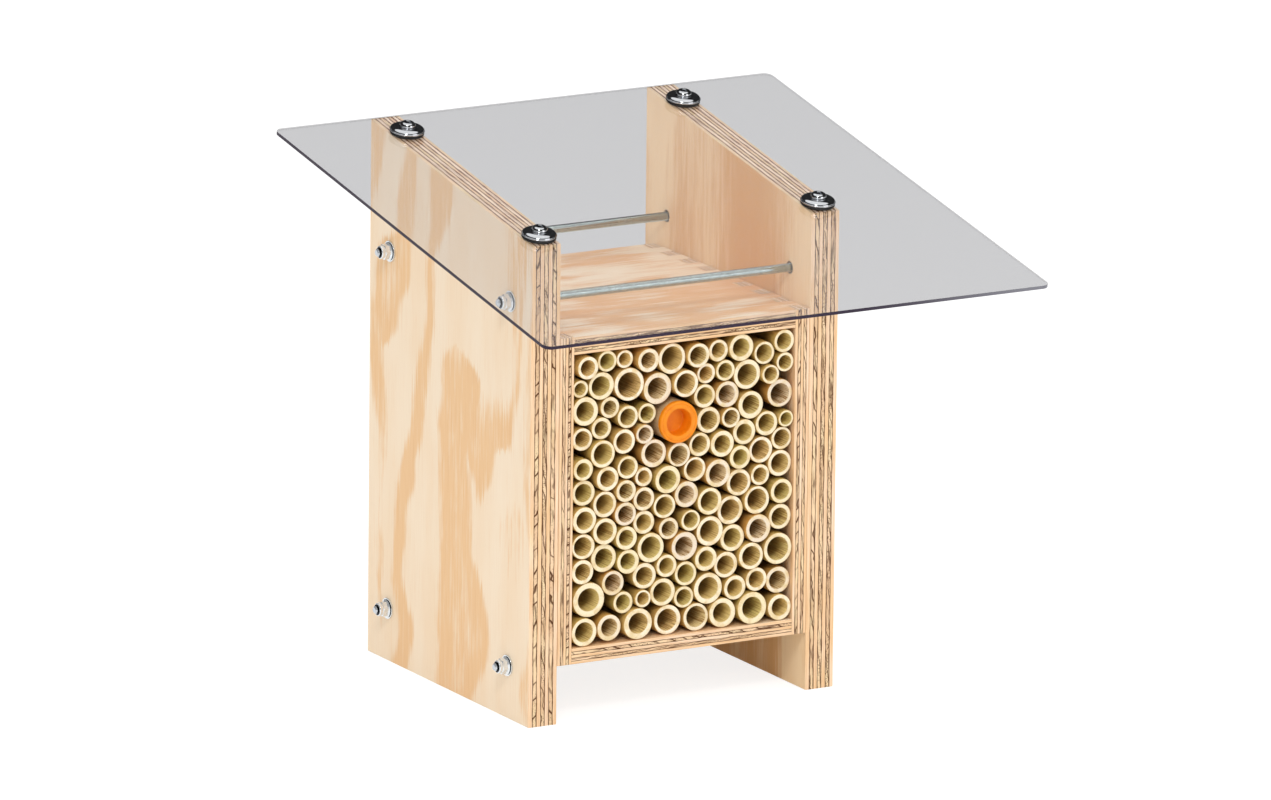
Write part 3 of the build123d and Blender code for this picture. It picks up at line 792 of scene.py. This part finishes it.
cap_low, cap_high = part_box("starter_cap")
cap_middle = (cap_low + cap_high) / 2
cap_radius = (cap_high.x - cap_low.x) / 2
cap_depth = cap_high.y - cap_low.y
cap_flange = 3.0 * MM
cap_flange_round = 0.4 * MM
cap_hollow_radius = 7.75 * MM
cap_hollow_depth = 8.5 * MM
cap_floor_ring = 2.0 * MM
cap_plug_radius = tube_radius - tube_wall - 0.2 * MM
cap_plug_taper = 0.15 * MM
cap_plug_straight = 0.62
cap_tip_inset = 1.0 * MM
cap_tip_round = 0.8 * MM
cap_round = 0.9 * MM
cap_lip = 0.6 * MM
cap_groove = 0.25 * MM
cap_groove_radius = cap_radius - 1.5 * MM
cap_steps = 96
cap_front = axes_at((cap_middle.x, cap_low.y, cap_middle.z), (1, 0, 0), (0, -1, 0))
cap_foot = cap_hollow_radius - 0.5 * MM
cap_profile = (
    [(0, -cap_hollow_depth), (cap_floor_ring, -cap_hollow_depth)]
    + arc((cap_foot - cap_lip, cap_lip - cap_hollow_depth), cap_lip, 270, 360, 4)
    + arc((cap_hollow_radius + cap_lip, -cap_lip), cap_lip, 180, 90, 5)
    + [(cap_groove_radius - cap_groove, 0), (cap_groove_radius, -cap_groove),
       (cap_groove_radius + cap_groove, 0)]
    + arc((cap_radius - cap_round, -cap_round), cap_round, 90, 0, 6)
    + arc((cap_radius - cap_flange_round, cap_flange_round - cap_flange), cap_flange_round, 0, -90, 3)
    + [(cap_plug_radius, -cap_flange), (cap_plug_radius - cap_plug_taper, -cap_plug_straight * cap_depth)]
    + arc((cap_plug_radius - cap_tip_inset, cap_tip_round - cap_depth), cap_tip_round, 0, -90, 4)
    + [(0, -cap_depth)])


def moulded_skin():
    """Moulded plastic: an even colour with a faint cloud, and the fine spark-eroded grain of the mould."""
    sockets = {"Place": "Vector", "Plain": "Color", "Deep": "Color", "Rough": "Float"}
    tree, given, result = new_group("moulded skin", sockets, finish_sockets)
    cloud = speckle(given["Place"], 4 * MM)
    grain = speckle(given["Place"], 0.12 * MM)
    feed(result, {"Color": mixed(ramp(cloud, 0.3, 0.8), given["Plain"], given["Deep"]), "Height": grain,
                  "Roughness": spread(grain, minus(given["Rough"], 0.08), plus(given["Rough"], 0.08))})
    return tree


moulded = moulded_skin()


def moulded_look(name, plain, deep, rough):
    """Moulded plastic in a colour that deepens a little in places."""
    look, tree, shader = new_look(name)
    own = add("TexCoord", {}, tree).outputs["Object"]
    skin = results_of(moulded, {"Place": own, "Plain": plain, "Deep": deep, "Rough": rough})
    feed(shader, {"Base Color": skin["Color"], "Roughness": skin["Roughness"], "Specular IOR Level": 0.3,
                  "Normal": bumped(skin["Height"], 0.012 * MM)})
    return look


orange = moulded_look("orange plastic", srgb(240, 142, 15), srgb(232, 128, 8), 0.42)
add_piece("orange_cap", mesh_at("orange_cap", turned(cap_profile, cap_steps), [cap_front]), [orange],
          "starter_cap", "orange_plastic", "starter_cap", crease=50)

# Tie rods. Zinc-plated steel studding, threaded all along, that runs through both boards and pulls them
# against the box. Its chamfered ends stand a little out of the nuts: pale plate at the tip, and behind it
# a thread darkened by painted shade.

thread_pitch = 0.8 * MM
thread_depth = 0.36 * MM
thread_steps = 20
rod_chamfer = 0.9 * MM
rod_stub = 2.4 * MM


def zinc_plate():
    """Zinc plate: clouded, and smoother where it is brighter, over the fine grain of the steel."""
    sockets = {"Place": "Vector", "Dull": "Color", "Bright": "Color", "Rough": "Float"}
    tree, given, result = new_group("zinc plate", sockets, finish_sockets)
    cloud = speckle(given["Place"], 3 * MM, 3.0)
    feed(result, {"Color": mixed(cloud, given["Dull"], given["Bright"]),
                  "Roughness": spread(cloud, plus(given["Rough"], 0.08), minus(given["Rough"], 0.08)),
                  "Height": speckle(given["Place"], 0.2 * MM)})
    return tree


plated = zinc_plate()


def zinc_look(name, dull, bright, rough, metallic=1.0):
    """Zinc-plated steel in two tones. Dull plate is less metallic."""
    look, tree, shader = new_look(name)
    own = add("TexCoord", {}, tree).outputs["Object"]
    plate = results_of(plated, {"Place": own, "Dull": dull, "Bright": bright, "Rough": rough})
    feed(shader, {"Base Color": plate["Color"], "Roughness": plate["Roughness"], "Metallic": metallic,
                  "Normal": bumped(plate["Height"], 0.008 * MM)})
    return look


def studding(length, radius):
    """Corners and faces of a threaded rod along Z: a thread profile wound round it, cut off at both ends.

    The section of the thread gives shares of the pitch, and the radius there.
    """
    crest, root, end = radius, radius - thread_depth, radius - rod_chamfer
    section = [(0.0, root), (0.15, root), (0.42, crest), (0.73, crest)]
    width = len(section)
    turns = math.ceil(length / thread_pitch)
    corners, faces = [], []
    for step in range(-thread_steps, (turns + 1) * thread_steps + 1):
        angle = step * math.tau / thread_steps
        for share, reach in section:
            height = min(max((step / thread_steps + share) * thread_pitch, 0.0), length)
            across = min(reach, end + min(height, length - height))
            corners.append(Vector((across * math.cos(angle), across * math.sin(angle), height)))
    last = len(corners) // width - 1
    for step in range(last):
        here, there = step * width, (step + 1) * width
        for number in range(width - 1):
            faces.append((here + number, there + number, there + number + 1, here + number + 1))
        if step + thread_steps < last:
            above = thread_steps * width
            faces.append((here + width - 1, there + width - 1, there + above, here + above))
    faces.append([step * width for step in range(thread_steps)])
    faces.append([(last - thread_steps + step) * width + width - 1 for step in range(thread_steps)])
    return corners, faces


zinc = zinc_look("zinc plated rod", srgb(168, 178, 176), srgb(202, 210, 206), 0.09)
end_zinc = zinc_look("zinc plated rod end", srgb(168, 174, 180), srgb(222, 228, 234), 0.2, 0.55)
# Painted shade: near-black steel for the thread just behind each rod tip and the rim of each nut's flange
painted_shade_steel = zinc_look("painted shade steel", srgb(30, 36, 42), srgb(58, 66, 72), 0.3)
for rod_name, middle in zip(rod_names, rod_middles):
    rod_low, rod_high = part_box(rod_name)
    form = studding(rod_high.x - rod_low.x, (rod_high.z - rod_low.z) / 2)
    rod_end = axes_at((rod_low.x, middle.y, middle.z), (0, 1, 0), (1, 0, 0))
    mesh = mesh_at(rod_name, form, [rod_end])
    for face in mesh.polygons:
        from_end = min(face.center.x - rod_low.x, rod_high.x - face.center.x)
        # The thread just behind the tip takes the painted shade steel, and the tip itself the pale plate
        face.material_index = 0 if from_end > rod_stub else 2 if from_end > rod_chamfer else 1
    looks = [zinc, end_zinc, painted_shade_steel]
    add_piece(f"threaded_{rod_name}", mesh, looks, "stand", "zinc_steel", rod_name)

# Rod washers and nuts. A flat stamped washer and a hexagon lock nut at each end of every rod, zinc plated.
# The nut stands on a sloping flange, and the collar at its outer end holds a dark nylon ring round the rod.

washer_radius = 6.0 * MM
washer_hole = 2.65 * MM
washer_edge = 0.18 * MM
washer_steps = 48
nut_across_flats = 8.0 * MM
nut_bore = 2.3 * MM
nut_bevel = 0.35 * MM
nut_chamfer = math.tan(math.radians(30))
nut_chamfer_share = 0.97
nut_first_turn = 17
nut_next_turn = 23
nut_steps = 72
flange_radius = 5.3 * MM
flange_edge = 0.5 * MM
flange_slope = math.tan(math.radians(28))
flange_rim_share = 0.99
collar_radius = 3.8 * MM
collar_rise = 2.0 * MM
collar_round = 0.6 * MM
insert_radius = collar_radius - collar_round
insert_drop = 0.3 * MM
bright_zinc = zinc_look("zinc plated washer", srgb(204, 211, 216), srgb(238, 243, 246), 0.2)
dull_zinc = zinc_look("zinc plated nut", srgb(208, 214, 218), srgb(246, 250, 252), 0.16, 0.6)
nylon = moulded_look("nylon ring", srgb(30, 36, 58), srgb(18, 22, 40), 0.4)


def washer_profile(thickness):
    """A stamped washer: one edge rounded by the punch, the other sharp."""
    return ([(washer_hole, 0), (washer_radius, 0)]
            + arc((washer_radius - washer_edge, thickness - washer_edge), washer_edge, 0, 90, 3)
            + arc((washer_hole + washer_edge, thickness - washer_edge), washer_edge, 90, 180, 3))


def hexagon_reach(across_flats, angle):
    """How far a hexagon reaches from its middle at an angle."""
    side = math.tau / 6
    return across_flats / 2 / math.cos((angle + side / 2) % side - side / 2)


def nut_profile(height):
    """A function of the angle that gives a nut's section there: its flange, its hexagon and its collar."""
    flat = nut_across_flats / 2 * nut_chamfer_share
    top = height + collar_rise

    def section(angle):
        reach = hexagon_reach(nut_across_flats, angle)
        drop = max(reach - flat, 0.0) * nut_chamfer
        foot = flange_edge + (flange_radius - reach) * flange_slope
        return ([(nut_bore, nut_bevel), (nut_bore + nut_bevel, 0), (flange_radius, 0),
                 (flange_radius, flange_edge), (reach, foot), (reach, height - drop), (flat, height),
                 (collar_radius, height)]
                + arc((insert_radius, top - collar_round), collar_round, 0, 90, 6)
                + [(insert_radius, top - insert_drop), (nut_bore, top - insert_drop)])

    return section


for side_name, sign in (("left", -1), ("right", 1)):
    washer_low, washer_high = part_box(f"{side_name}_rod_washers")
    nut_low, nut_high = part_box(f"{side_name}_rod_nuts")
    nut_height = nut_high.x - nut_low.x
    board_face = washer_high.x if sign < 0 else washer_low.x
    nut_seat = nut_high.x if sign < 0 else nut_low.x
    washer_seats, nut_seats = [], []
    for number, middle in enumerate(rod_middles):
        turn = Matrix.Rotation(math.radians(nut_first_turn + nut_next_turn * number), 4, "Z")
        washer_seats.append(axes_at((board_face, middle.y, middle.z), (0, 1, 0), (sign, 0, 0)))
        nut_seats.append(axes_at((nut_seat, middle.y, middle.z), (0, 1, 0), (sign, 0, 0)) @ turn)
    washer = turned(washer_profile(washer_high.x - washer_low.x), washer_steps)
    add_piece(f"{side_name}_washers", mesh_at("washers", washer, washer_seats), [bright_zinc], "stand",
              "zinc_steel", f"{side_name}_rod_washers")
    nuts = mesh_at("nuts", turned(nut_profile(nut_height), nut_steps), nut_seats)
    for face in nuts.polygons:
        past_hexagon = abs(face.center.x - nut_seat) > nut_height + collar_rise / 2
        off_axis = min(math.hypot(face.center.y - rod.y, face.center.z - rod.z) for rod in rod_middles)
        if past_hexagon and off_axis < insert_radius:
            face.material_index = 1
        # Painted shade: the flange's rim takes the near-black steel, for the dark line where flange meets
        # washer
        elif off_axis > flange_rim_share * flange_radius:
            face.material_index = 2
    add_piece(f"{side_name}_nuts", nuts, [dull_zinc, nylon, painted_shade_steel], "stand",
              "zinc_steel", f"{side_name}_rod_nuts", crease=20)

# Roof sheet. A clear flat sheet of plastic, sawn square with small round corners and drilled for its screws.
# It lies on the boards' sloping tops, with a film of air between. Its sawn edge is painted dark violet grey,
# painted shade for how a clear sheet looks edge on through its width, and paler to the right as painted
# light.

sheet_low, sheet_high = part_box("roof_sheet")
sheet_thickness = 2.0 * MM
sheet_air = 0.05 * MM
sheet_arris = 0.1 * MM
sheet_corner = 5.0 * MM
sheet_hole = 2.75 * MM
flat_facing = 0.9
slope = math.atan2(board_high.z - board_front_height, board_high.y - board_low.y)
slope_up = Vector((0, math.cos(slope), math.sin(slope)))
slope_out = Vector((0, -math.sin(slope), math.cos(slope)))
slope_start = Vector((0, board_low.y, board_front_height))
screw_spots = []
for solid in solids_of("roof_cup_washers"):
    from_start = sum(solid, Vector()) / len(solid) - slope_start
    screw_spots.append((from_start.x, from_start.dot(slope_up)))
sheet_side = sheet_high.x
sheet_back = (board_high.y - board_low.y) / math.cos(slope)
sheet_front = (sheet_low.y + sheet_thickness * math.sin(slope) - board_low.y) / math.cos(slope)
sheet_middle = slope_start + slope_out * (sheet_thickness + sheet_air) / 2
sheet_corners = [(sheet_side - sheet_corner, sheet_front + sheet_corner, -90),
                 (sheet_side - sheet_corner, sheet_back - sheet_corner, 0),
                 (sheet_corner - sheet_side, sheet_back - sheet_corner, 90),
                 (sheet_corner - sheet_side, sheet_front + sheet_corner, 180)]
sheet_outline = [point for x, along, start in sheet_corners
                 for point in arc((x, along), sheet_corner, start, start + 90, 8)]


def let_through(tree, shader, share, tint=(1, 1, 1, 1)):
    """Make a look clear to some rays: the share is 1 for a ray that passes straight through, else 0."""
    passing = add("BsdfTransparent", {"Color": tint}, tree)
    both = add("MixShader", {0: share, 1: shader.outputs[0], 2: passing.outputs[0]})
    feed(tree.nodes["Material Output"], {"Surface": both.outputs[0]})


def clear_look():
    """Clear plastic. Lamps shine through it as through a faint tint."""
    look, tree, shader = new_look("clear sheet")
    own = add("TexCoord", {}, tree).outputs["Object"]
    smear = speckle(own, (90 * MM, 30 * MM, 30 * MM), 3.0)
    feed(shader, {"Base Color": srgb(250, 250, 252), "Transmission Weight": 1.0, "IOR": 1.49,
                  "Roughness": spread(ramp(smear, 0.45, 0.8), 0.0, 0.02)})
    path = add("LightPath", {}, tree).outputs
    for_lamps = larger(path["Is Shadow Ray"], path["Is Diffuse Ray"])
    let_through(tree, shader, for_lamps, srgb(249, 249, 250))
    return look


def sheet_edge_look():
    """Sawn edge: dark violet grey painted shade, painted light to the right, fine saw lines. Clear from
    within.
    """
    look, tree, shader = new_look("sheet edge")
    own = add("TexCoord", {}, tree).outputs["Object"]
    lines = speckle(own, (0.5 * MM, 0.5 * MM, 6 * MM))
    rightwards, _, _ = apart(own)
    # Painted light: the edge pales towards the right end of the sheet, as if lit from there
    painted_light = times(ramp(rightwards, 0.2 * sheet_side, sheet_side), 0.75)
    base = mixed(lines, srgb(34, 24, 40), srgb(60, 49, 68))
    feed(shader, {"Base Color": mixed(painted_light, base, srgb(138, 138, 146)), "Specular IOR Level": 0.2,
                  "Roughness": spread(lines, 0.25, 0.45), "Normal": bumped(lines, 0.03 * MM)})
    let_through(tree, shader, add("LightPath", {}, tree).outputs["Is Transmission Ray"])
    return look


sheet_holes = [(x, along, sheet_hole) for x, along in screw_spots]
sheet_mesh = flat_piece("clear_sheet", sheet_outline, sheet_holes, sheet_thickness - sheet_air, sheet_arris,
                        axes_at(sheet_middle, (1, 0, 0), slope_out))
for face in sheet_mesh.polygons:
    face.material_index = 0 if abs(face.normal.dot(slope_out)) > flat_facing else 1
add_piece("clear_roof_sheet", sheet_mesh, [clear_look(), sheet_edge_look()], "stand", "clear_sheet",
          "roof_sheet", crease=5)

# Roof fixings. At four points a screw with a low domed head presses a polished cup washer and a black rubber
# seal onto the sheet, and runs down into the board. The head has a six-sided socket for its key.

screw_seats = [axes_at(slope_start + Vector((x, 0, 0)) + slope_up * along, (1, 0, 0), slope_out)
               for x, along in screw_spots]
shank_radius = 2.25 * MM
shank_length = 30.0 * MM
shank_straight = 0.85
shank_tip = 0.3 * MM
hole_radius = shank_radius + 0.1 * MM
seal_radius = 9.5 * MM
seal_edge = 0.3 * MM
seal_inset = 0.7 * MM
seal_thickness = 2.0 * MM
seal_top = sheet_thickness + seal_thickness
cup_radius = 10.0 * MM
cup_edge = 0.3 * MM
cup_rim = 0.8 * MM
cup_height = 2.6 * MM
cup_inset = 0.35 * MM
cup_dish = 0.1 * MM
head_radius = 4.5 * MM
head_height = 2.6 * MM
head_seat = seal_top + cup_height
head_edge = 0.5 * MM
head_undercut = 0.2 * MM
head_crown = 2.3 * MM
head_crown_drop = 0.03 * MM
cup_crown = head_radius + 0.4 * MM
socket_across_flats = 3.0 * MM
socket_depth = 1.5 * MM
socket_bevel = 0.25 * MM
socket_lip = 0.02 * MM


def rubber_look():
    """Black rubber: matt, with a fine bloom."""
    look, tree, shader = new_look("black rubber")
    own = add("TexCoord", {}, tree).outputs["Object"]
    bloom = speckle(own, 2 * MM, 4.0)
    feed(shader, {"Base Color": mixed(bloom, srgb(18, 17, 17), srgb(40, 38, 37)),
                  "Roughness": spread(bloom, 0.5, 0.7), "Normal": bumped(speckle(own, 0.15 * MM), 0.02 * MM)})
    return look


def polished_look():
    """Polished stainless steel with faint rubbed patches."""
    look, tree, shader = new_look("polished steel")
    own = add("TexCoord", {}, tree).outputs["Object"]
    rubbed = speckle(own, (3 * MM, 1 * MM, 3 * MM), 4.0)
    feed(shader, {"Base Color": mixed(rubbed, srgb(206, 208, 212), srgb(224, 226, 229)), "Metallic": 1.0,
                  "Roughness": spread(ramp(rubbed, 0.4, 0.8), 0.05, 0.16)})
    return look


def dome(radius, low, crown, high, steps=10):
    """Points of a dome: a quarter of an ellipse, from its edge up to its flat crown."""
    turns = [step / steps * math.pi / 2 for step in range(steps + 1)]
    return [(crown + (radius - crown) * math.cos(turn), low + (high - low) * math.sin(turn))
            for turn in turns]


def socket_head(angle):
    """The section of a screw at an angle: its domed head, the socket in it and its shank."""
    socket = hexagon_reach(socket_across_flats, angle)
    top = head_seat + head_height
    return ([(0, top - socket_depth), (socket, top - socket_depth), (socket, top - socket_bevel),
             (socket + socket_bevel, top - socket_lip)]
            + dome(head_radius, head_seat + head_edge, head_crown, top - head_crown_drop)[::-1]
            + [(head_radius - head_undercut, head_seat), (shank_radius, head_seat),
               (shank_radius, -shank_length * shank_straight), (shank_tip, -shank_length),
               (0, -shank_length)])


seal_profile = (
    [(hole_radius, sheet_thickness), (seal_radius - seal_edge, sheet_thickness)]
    + arc((seal_radius - seal_inset, sheet_thickness + seal_thickness / 2), seal_thickness / 2, -70, 70, 8)
    + [(seal_radius - seal_edge, seal_top), (hole_radius, seal_top)])
cup_profile = (
    [(hole_radius, seal_top), (cup_radius - cup_edge, seal_top)]
    + arc((cup_radius - cup_rim / 2, seal_top + cup_rim / 2), cup_rim / 2, -60, 60, 6)
    + dome(cup_radius - cup_inset, seal_top + cup_rim, cup_crown, head_seat)
    + [(head_radius, head_seat - cup_dish), (hole_radius, head_seat - cup_dish)])
polished = polished_look()
fixings = {
    "rubber_seals": (turned(seal_profile), rubber_look(), "black_rubber", "roof_seals"),
    "cup_washers": (turned(cup_profile), polished, "polished_steel", "roof_cup_washers"),
    "socket_screws": (turned(socket_head, nut_steps), polished, "polished_steel", "roof_screws"),
}
for fixing_name, (form, look, slot, node) in fixings.items():
    add_piece(fixing_name, mesh_at(fixing_name, form, screw_seats), [look], "stand", slot, node)

# Studio. A white floor in a white room, a soft lamp from the left, a weaker one from the right, and one from
# above that no metal mirrors. A dark screen stands all round the set, and only shows as a reflection in the
# steel and the sheet.

scene = bpy.context.scene
scene.view_settings.view_transform = "Standard"
floor_size = 30.0
floor_drop = 0.1 * MM
floor_lit = (0.92, 0.92, 0.92, 1)
floor_seen = (0.35, 0.35, 0.35, 1)
floor_glow = 0.8
# Painted shade: seen through the sheet the floor glows less, which greys the sheet over the floor
floor_glow_through_sheet = 0.34
room_light = 0.82
white = (1, 1, 1, 1)
object_middle = (cad_box[0] + cad_box[1]) / 2


def stage_mesh(name, corners, faces, look):
    """A thing of the studio that is no part of the object."""
    mesh = bpy.data.meshes.new(name)
    mesh.from_pydata(corners, [], faces)
    mesh.materials.append(look)
    made = bpy.data.objects.new(name, mesh)
    scene.collection.objects.link(made)
    return made


def looking(path):
    """1 for rays that look at a thing, directly, in a mirror or through the sheet, and 0 for all others."""
    return larger(larger(path["Is Camera Ray"], path["Is Glossy Ray"]), path["Is Transmission Ray"])


# The floor is plain white paper for the light, and mostly glows by itself for the camera, also in metal
floor_look, floor_tree, floor_shader = new_look("white floor")
floor_path = add("LightPath", {}, floor_tree).outputs
floor_rays = looking(floor_path)
floor_level = spread(floor_path["Is Transmission Ray"], floor_glow, floor_glow_through_sheet)
feed(floor_shader, {"Base Color": mixed(floor_rays, floor_lit, floor_seen), "Emission Color": white,
                    "Emission Strength": times(floor_level, floor_rays), "Roughness": 1.0,
                    "Specular IOR Level": 0.0})
half = floor_size / 2
stage_mesh("floor", [(-half, -half, -floor_drop), (half, -half, -floor_drop), (half, half, -floor_drop),
                     (-half, half, -floor_drop)], [(0, 1, 2, 3)], floor_look)

room = bpy.data.worlds.new("white room")
room.use_nodes = True
scene.world = room
room_rays = looking(add("LightPath", {}, room.node_tree).outputs)
feed(room.node_tree.nodes["Background"], {"Color": white, "Strength": spread(room_rays, room_light, 1.0)})

# Each lamp's place and size in metres, and its power in watts
lamps = {
    "key_lamp": ((-1.1, -1.63, 2.0), 0.55, 18.0),
    "fill_lamp": ((1.1, -2.2, 0.8), 1.4, 9.0),
    "top_lamp": ((0.1, 0.0, 2.2), 1.2, 10.0),
}
for lamp_name, (spot, size, power) in lamps.items():
    lamp = bpy.data.lights.new(lamp_name, "AREA")
    lamp.shape = "SQUARE"
    lamp.size = size
    lamp.energy = power
    fitting = bpy.data.objects.new(lamp_name, lamp)
    fitting.location = spot
    fitting.rotation_euler = (object_middle - Vector(spot)).to_track_quat("-Z", "Y").to_euler()
    fitting.visible_camera = False
    fitting.visible_glossy = lamp_name != "top_lamp"
    scene.collection.objects.link(fitting)

screen_radius = 3.0
screen_bottom = 0.25
screen_top = 4.2
screen_sides = 36
screen_angles = [math.radians(360 * step / screen_sides) for step in range(screen_sides + 1)]
screen_look, _, screen_shader = new_look("dark screen")
feed(screen_shader, {"Base Color": srgb(48, 48, 49), "Roughness": 0.9, "Specular IOR Level": 0.0})
screen_corners = [(screen_radius * math.cos(angle), screen_radius * math.sin(angle), height)
                  for angle in screen_angles for height in (screen_bottom, screen_top)]
screen_faces = [(step, step + 2, step + 3, step + 1) for step in range(0, 2 * screen_sides, 2)]
screen = stage_mesh("dark_screen", screen_corners, screen_faces, screen_look)
screen.visible_camera = False
screen.visible_diffuse = False
screen.visible_transmission = False
screen.visible_shadow = False

# Camera. A long lens, far off, to the left of the object's front and looking a little down at it.

image_width = 1271
focal_pixels = 14861
view_yaw = math.radians(-29.53)
view_pitch = math.radians(14.0)
view_roll = math.radians(0.61)
camera_spot = Vector((-3.98087, -7.00224, 2.17853))
ahead = Vector((-math.sin(view_yaw) * math.cos(view_pitch), math.cos(view_yaw) * math.cos(view_pitch),
                -math.sin(view_pitch)))
level = Vector((math.cos(view_yaw), math.sin(view_yaw), 0))
camera_up = level.cross(ahead)
camera_right = level * math.cos(view_roll) + camera_up * math.sin(view_roll)
camera_data = bpy.data.cameras.new("camera")
camera_data.sensor_width = 36.0
camera_data.lens = camera_data.sensor_width * focal_pixels / image_width
camera_data.clip_end = 60.0
camera = bpy.data.objects.new("camera", camera_data)
camera.matrix_world = axes_at(camera_spot, camera_right, -ahead)
scene.collection.objects.link(camera)
scene.camera = camera
